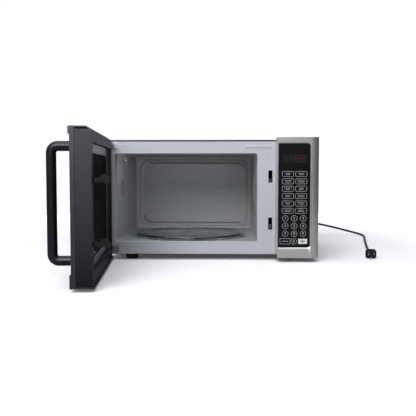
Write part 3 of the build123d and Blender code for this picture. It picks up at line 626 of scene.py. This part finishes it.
def make_lead():
    """The mains lead on its smooth line and its ribbed relief."""
    route = [
        (205, 232, 59), (205, 262, 59), (217, 293, 58.2), (246, 318, 56.6), (290, 334, 53.2),
        (336, 348, 46.8), (380, 372, 36.5), (419, 400, 26), (452, 412, 17), (483, 404, 9.5),
        (503, 378, 5), (505, 342, 3.5), (493, 288, 3.4), (476, 205, 3.3), (459, 120, 3.4),
        (443, 36, 3.3), (428, -44, 3.4), (415, -116, 3.4),
    ]
    points = [Vector(point) * MM for point in route]
    lead_radius = 3.25 * MM
    lead = round_tube("mains_lead", points, lead_radius, order="NURBS", around=6)
    spline = lead.data.splines[0]
    spline.order_u = 3
    spline.use_endpoint_u = True
    spline.resolution_u = 10
    scene.collection.objects.link(lead)
    lead.data.materials.append(materials["lead_sheath"])
    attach(lead, "root")
    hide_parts("power_cord")
    low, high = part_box("strain_relief")
    centre = Vector(((low.x + high.x) / 2, 0, (low.z + high.z) / 2))
    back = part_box("back_panel")[1].y
    stem, collar, collar_depth = 7.8 * MM, 10.5 * MM, 3 * MM
    profile = [
        (0, low.y), (stem, low.y), (stem, back), (collar, back), (collar, back + 2.4 * MM),
        (9.9 * MM, back + collar_depth), (6.8 * MM, back + collar_depth),
    ]
    length = high.y - back - collar_depth
    ribs = 6
    for rib in range(ribs):
        for part, extra in ((0.15, 0.0), (0.25, -0.9), (0.6, -0.9), (0.7, 0.0)):
            along = (rib + part) / ribs
            ribbed = 6.7 * MM - 2.5 * MM * along + extra * MM
            profile.append((ribbed, back + collar_depth + length * along))
    profile += [(4.2 * MM, high.y), (0, high.y)]
    relief = lathe("ribbed_relief", profile, centre, segments=40, axis="Y")
    sharpen(relief, 30)
    place(relief, "root", "black_moulding", "strain_relief")


make_handle()
make_tray()
make_lead()


# ================================================================ keypad prints
film_low, film_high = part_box("keypad_overlay")
film_left, film_top, film_face = film_low.x, film_high.z, film_low.y
print_thickness = 0.1 * MM
print_line = 0.9 * MM
key_pitch = (31.8, 17.8)         # the twelve function keys, in two columns, millimetres
key_size = (27.5, 12.5)
number_pitch = (21.6, 18.5)
number_size = (14.0, 14.0)
number_corner = 6.98             # just under half the size, so that the outline is round
first_function_key = (22.75, 73.4)
first_number_key = (16.8, 180.7)
clear_centre, zero_centre, start_centre = (16.5, 236.5), (37.9, 236.5), (59.2, 236.5)
keypad_inks = {
    "key_line": finished("key_line", (0.40, 0.40, 0.41), 0.5, 0.05, 0.1, 600, 0.002),
    "key_fill": finished("key_fill", (0.74, 0.80, 0.80), 0.45, 0.05, 0.05, 600, 0.002),
    "key_mark": finished("key_mark", (0.20, 0.22, 0.23), 0.5, 0.05, 0.1, 600, 0.002),
    "digit_dim": finished("digit_dim", (0.0125, 0.0105, 0.010), 0.3, 0.02, 0.1, 600, 0.001),
    "digit_red": finished("digit_red", (0.050, 0.016, 0.012), 0.3, 0.02, 0.1, 600, 0.001),
}


def on_film(across, down):
    """A point on the keypad film's face, in millimetres from its top left corner."""
    return Vector((film_left + across * MM, film_face, film_top - down * MM))


def outlined_keys_tree():
    """Rows of rounded key outlines in the upright plane, from the sizes given."""
    tree = bpy.data.node_groups.new("outlined_keys", "GeometryNodeTree")
    sizes = (("Columns", "NodeSocketInt"), ("Rows", "NodeSocketInt"), ("Pitch Across", "NodeSocketFloat"),
             ("Pitch Up", "NodeSocketFloat"), ("Width", "NodeSocketFloat"), ("Height", "NodeSocketFloat"),
             ("Corner", "NodeSocketFloat"), ("Line", "NodeSocketFloat"), ("Thickness", "NodeSocketFloat"),
             ("Ink", "NodeSocketMaterial"))
    for label, kind in sizes:
        tree.interface.new_socket(label, in_out="INPUT", socket_type=kind)
    tree.interface.new_socket("Geometry", in_out="OUTPUT", socket_type="NodeSocketGeometry")
    given, out = tree.nodes.new("NodeGroupInput"), tree.nodes.new("NodeGroupOutput")
    links = tree.links

    def times(first, second):
        node = tree.nodes.new("ShaderNodeMath")
        node.operation = "MULTIPLY"
        links.new(first, node.inputs[0])
        links.new(second, node.inputs[1])
        return node.outputs[0]

    def less_one(value):
        node = tree.nodes.new("ShaderNodeMath")
        node.operation = "SUBTRACT"
        links.new(value, node.inputs[0])
        node.inputs[1].default_value = 1
        return node.outputs[0]

    grid = tree.nodes.new("GeometryNodeMeshGrid")
    links.new(times(given.outputs["Pitch Across"], less_one(given.outputs["Columns"])), grid.inputs["Size X"])
    links.new(times(given.outputs["Pitch Up"], less_one(given.outputs["Rows"])), grid.inputs["Size Y"])
    links.new(given.outputs["Columns"], grid.inputs["Vertices X"])
    links.new(given.outputs["Rows"], grid.inputs["Vertices Y"])
    outline = tree.nodes.new("GeometryNodeCurvePrimitiveQuadrilateral")
    links.new(given.outputs["Width"], outline.inputs["Width"])
    links.new(given.outputs["Height"], outline.inputs["Height"])
    corner = tree.nodes.new("GeometryNodeFilletCurve")
    corner.mode = "POLY"
    corner.inputs["Count"].default_value = 6
    links.new(outline.outputs[0], corner.inputs["Curve"])
    links.new(given.outputs["Corner"], corner.inputs["Radius"])
    section = tree.nodes.new("GeometryNodeCurvePrimitiveQuadrilateral")
    links.new(given.outputs["Line"], section.inputs["Width"])
    links.new(given.outputs["Thickness"], section.inputs["Height"])
    ribbon = tree.nodes.new("GeometryNodeCurveToMesh")
    links.new(corner.outputs[0], ribbon.inputs["Curve"])
    links.new(section.outputs[0], ribbon.inputs["Profile Curve"])
    copies = tree.nodes.new("GeometryNodeInstanceOnPoints")
    links.new(grid.outputs["Mesh"], copies.inputs["Points"])
    links.new(ribbon.outputs[0], copies.inputs["Instance"])
    upright = tree.nodes.new("GeometryNodeTransform")
    upright.inputs["Rotation"].default_value = (math.radians(90), 0, 0)
    links.new(copies.outputs[0], upright.inputs["Geometry"])
    realize = tree.nodes.new("GeometryNodeRealizeInstances")
    ink = tree.nodes.new("GeometryNodeSetMaterial")
    links.new(upright.outputs[0], realize.inputs[0])
    links.new(realize.outputs[0], ink.inputs["Geometry"])
    links.new(given.outputs["Ink"], ink.inputs["Material"])
    links.new(ink.outputs[0], out.inputs[0])
    return tree


outlined_keys = outlined_keys_tree()


def key_outlines(name, centre, columns, rows, pitch, size, corner):
    """A block of outlined keys about a centre on the film."""
    holder = mesh_object(name + "_rule", [(0, 0, 0)], [])
    rule = holder.modifiers.new("keys", "NODES")
    rule.node_group = outlined_keys
    values = {
        "Columns": columns, "Rows": rows, "Pitch Across": pitch[0] * MM, "Pitch Up": pitch[1] * MM,
        "Width": size[0] * MM, "Height": size[1] * MM, "Corner": corner * MM, "Line": print_line,
        "Thickness": print_thickness, "Ink": keypad_inks["key_line"],
    }
    for socket in outlined_keys.interface.items_tree:
        if socket.item_type == "SOCKET" and socket.in_out == "INPUT":
            rule[socket.identifier] = values[socket.name]
    piece = to_mesh(holder, name)
    piece.data.transform(Matrix.Translation(on_film(*centre)))
    sharpen(piece, 30)
    place(piece, "root", "keypad_film", material=keypad_inks["key_line"])


def printed(name, shapes, ink, lifts=(-0.5, 0.5)):
    """Flat printed shapes, each a list of (across, down) points on the film; lifts are in thicknesses."""
    verts, faces = [], []
    for shape in shapes:
        first, count = len(verts), len(shape)
        for lift in lifts:
            verts += [on_film(*point) + Vector((0, lift * print_thickness, 0)) for point in shape]
        faces.append([first + step for step in range(count)])
        faces.append([first + count + step for step in reversed(range(count))])
        for step in range(count):
            after = (step + 1) % count
            faces.append((first + after, first + step, first + count + step, first + count + after))
    piece = mesh_object(name, verts, faces, smooth=False)
    place(piece, "root", "keypad_film", material=keypad_inks[ink])


def bar(across, down, width, height, end=0.0):
    """A printed bar's outline; end is how far its ends come to a point."""
    half, up = width / 2, height / 2
    if not end:
        return [(across - half, down + up), (across + half, down + up), (across + half, down - up),
                (across - half, down - up)]
    return [(across - half, down), (across - half + end, down + up), (across + half - end, down + up),
            (across + half, down), (across + half - end, down - up), (across - half + end, down - up)]


def upright_bar(across, down, width, height, end):
    """The same bar, standing."""
    turned = bar(0, 0, height, width, end)
    return [(across + y, down - x) for x, y in turned]


def key_labels():
    """Plain dashes in the places of the function keys' words."""
    dashes = []
    for column in range(2):
        for row in range(6):
            across = first_function_key[0] + key_pitch[0] * column
            down = first_function_key[1] + key_pitch[1] * row
            upper, lower = 12 + 3 * ((row + column) % 3), 9 + 2.5 * ((2 * row + column) % 4)
            dashes += [bar(across, down - 1.7, upper, 1.1), bar(across, down + 1.7, lower, 1.1)]
    dashes.append(bar(*clear_centre, 15, 1.5))
    printed("key_dashes", dashes, "key_line")
    printed("start_key", [bar(*start_centre, 21.5, 12.6)], "key_fill")


def start_mark():
    """A generic mark on the light key, just in front of its fill."""
    marks = [bar(*start_centre, 14.0, 1.5, 0.7), upright_bar(*start_centre, 3.4, 8.4, 1.7)]
    printed("start_mark", marks, "key_mark", lifts=(-1.2, -0.4))


def key_number(number, across, down):
    """A printed number in the middle of its key."""
    text = bpy.data.curves.new("number_" + number, "FONT")
    text.body = number
    text.size = 9.2 * MM
    text.extrude = print_thickness / 2
    text.offset = 0.12 * MM
    text.align_x = "CENTER"
    text.align_y = "CENTER"
    holder = bpy.data.objects.new("number_" + number, text)
    scene.collection.objects.link(holder)
    piece = to_mesh(holder, "number_" + number)
    upright = Matrix.Rotation(math.radians(90), 4, "X")
    piece.data.transform(Matrix.Translation(on_film(across, down)) @ upright)
    place(piece, "root", "keypad_film", material=keypad_inks["key_line"])


def display_digits():
    """Four unlit seven-segment digits on the display window's face, the right-hand two a dull red."""
    height, width, stroke, slant = 15.0, 9.0, 1.5, 0.08
    centres = {"digit_dim": (16.5, 31.5), "digit_red": (44.5, 58.5)}
    middle = 36.9
    for ink, places in centres.items():
        shapes = []
        for across in places:
            upright = [upright_bar(side * width / 2, lift * height / 4, stroke, height / 2 - 0.5, stroke / 2)
                       for side in (-1, 1) for lift in (-1, 1)]
            level = [bar(0, lift * height / 2, width - 0.6, stroke, stroke / 2) for lift in (-1, 0, 1)]
            for outline in upright + level:
                shapes.append([(across + x - slant * y, middle + y) for x, y in outline])
        printed("display_" + ink, shapes, ink)


def make_keypad():
    key_outlines("function_keys", (38.65, 117.9), 2, 6, key_pitch, key_size, 3.6)
    key_outlines("number_keys", (38.4, 199.2), 3, 3, number_pitch, number_size, number_corner)
    key_outlines("clear_key", clear_centre, 1, 1, (1, 1), (24.4, 13.0), 1.5)
    key_outlines("zero_key", zero_centre, 1, 1, (1, 1), number_size, number_corner)
    key_labels()
    start_mark()
    for number in range(1, 10):
        row, column = divmod(number - 1, 3)
        across = first_number_key[0] + number_pitch[0] * column
        down = first_number_key[1] + number_pitch[1] * row
        key_number(str(number), across, down)
    key_number("0", *zero_centre)
    display_digits()


def deepen_panel_bevel():
    """Widen the recess's small chamfer into the sloped rim round the keypad."""
    piece = bpy.data.objects["control_panel_housing_finished"]
    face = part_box("control_panel_housing")[0].y
    reach, depth, corner = 2.6 * MM, 0.8 * MM, 6.2 * MM
    near, beyond = 1.3 * MM, 0.3 * MM
    for vertex in piece.data.vertices:
        across, up = vertex.co.x, vertex.co.z
        around_film = (film_left - near < across < film_high.x + near + beyond
                       and film_low.z - near - beyond < up < film_top + near + beyond)
        if not around_film:
            continue
        if vertex.co.y < face + 0.05 * MM:
            core = Vector((min(across, film_high.x - corner), 0,
                           min(max(up, film_low.z + corner), film_top - corner)))
            outward = Vector((across, 0, up)) - core
            vertex.co += outward.normalized() * reach
        elif vertex.co.y < face + 1.0 * MM:
            vertex.co.y += depth


make_keypad()
deepen_panel_bevel()


# ================================================================ sheet-metal details
jamb_depth = 12.0 * MM
plate_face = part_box("front_plate")[1].y - jamb_depth
panel_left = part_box("control_panel_housing")[0].x


def capped_faces(count):
    """The sides and two caps between two outlines of count points each."""
    sides = [(step, (step + 1) % count, count + (step + 1) % count, count + step) for step in range(count)]
    return sides + [tuple(range(count)), tuple(range(count, 2 * count))]


def upright_strip(name, section, bottom, top):
    """A capped upright strip with the given (x, y) section."""
    verts = [(x, y, z) for z in (bottom, top) for x, y in section]
    piece = mesh_object(name, verts, capped_faces(len(section)))
    face_outwards(piece)
    sharpen(piece, 50)
    return piece


def half_round(left, right, back, rise, steps=8):
    """An (x, y) section that bulges forward, or back where rise is negative."""
    middle, half = (left + right) / 2, (right - left) / 2
    return [(middle - half * math.cos(math.pi * step / steps), back - rise * math.sin(math.pi * step / steps))
            for step in range(steps + 1)]


def plate_fold():
    """The bright folded edge of the front plate beside the control panel."""
    section = half_round(panel_left - 4.9 * MM, panel_left - 0.5 * MM, plate_face, 1.3 * MM)
    bottom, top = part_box("front_plate")[0].z + 0.5 * MM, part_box("outer_cover")[1].z - 6.4 * MM
    place(upright_strip("plate_fold", section, bottom, top), "root", "front_enamel")


def hinge_side_trim():
    """A dark strip laid over the door's sheet beside the hinge, so that the sheet shows black on that side."""
    low, high = box_on_door("choke_cover")
    film = box_on_door("window_film")
    back = film[1].y + 2.6 * MM
    section = half_round(film[0].x - 16.6 * MM, film[0].x + 5.0 * MM, back, -1.2 * MM)
    piece = upright_strip("hinge_side_trim", section, low.z + 27.6 * MM, high.z - 23.6 * MM)
    place(piece, "door", "choke_plastic", on_door=True)


def slot_ledges():
    """The pale curved guards of the door switches, seen through the latch slots."""
    slot_middles = {"lower": 91.1, "upper": 208.0}
    guard_back = -168 * MM
    for name, middle in slot_middles.items():
        section = half_round(panel_left - 18.6 * MM, panel_left - 9.4 * MM, guard_back, 1.0 * MM)
        piece = upright_strip("switch_guard_" + name, section, (middle - 19) * MM, (middle - 5.5) * MM)
        place(piece, "root", "lamp_ceramic")


def level_bead(name, left, right, height, rise, forward):
    """A bead pressed forward along the front plate, with round ends."""
    half, steps = rise / 2, 8
    outline = []
    for centre, start in ((right - half, -90), (left + half, 90)):
        for step in range(steps + 1):
            turn = math.radians(start + 180 * step / steps)
            outline.append((centre + half * math.cos(turn), height + half * math.sin(turn)))
    middle_x, inset = (left + right) / 2, 0.8
    verts = [(x, plate_face + 0.1 * MM, z) for x, z in outline]
    for x, z in outline:
        inward = 0.6 * MM if x < middle_x else -0.6 * MM
        verts.append((x + inward, plate_face - forward, height + (z - height) * inset))
    piece = mesh_object(name, verts, capped_faces(len(outline)))
    face_outwards(piece)
    sharpen(piece, 40)
    place(piece, "root", "front_enamel")


def cavity_beads():
    """A rounded bead loop pressed into the cavity's back wall."""
    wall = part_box("cavity_liner")[1].y - 1.0 * MM
    centre_x, centre_z = -61.5 * MM, 154 * MM

    def on_wall(across, up, rise):
        """A point that stands rise in front of the wall, from the bead's centre."""
        return (centre_x + across, wall - rise, centre_z + up)

    profile = [(0, -0.2), (1.0, 0.5), (2.4, 1.2), (3.8, 1.35), (5.2, 1.2), (6.6, 0.5), (7.6, -0.2)]
    profile = [(inset * MM, rise * MM) for inset, rise in profile]
    piece = bead_loop("back_wall_bead", 335 * MM, 206 * MM, 32 * MM, profile, on_wall)
    place(piece, "root", "cavity_enamel")


plate_fold()
slot_ledges()
level_bead("upper_bead", 86 * MM, 149 * MM, 281.1 * MM, 3.4 * MM, 1.5 * MM)
level_bead("short_bead", -221 * MM, -208 * MM, 284.5 * MM, 2.8 * MM, 1.3 * MM)
hinge_side_trim()
cavity_beads()
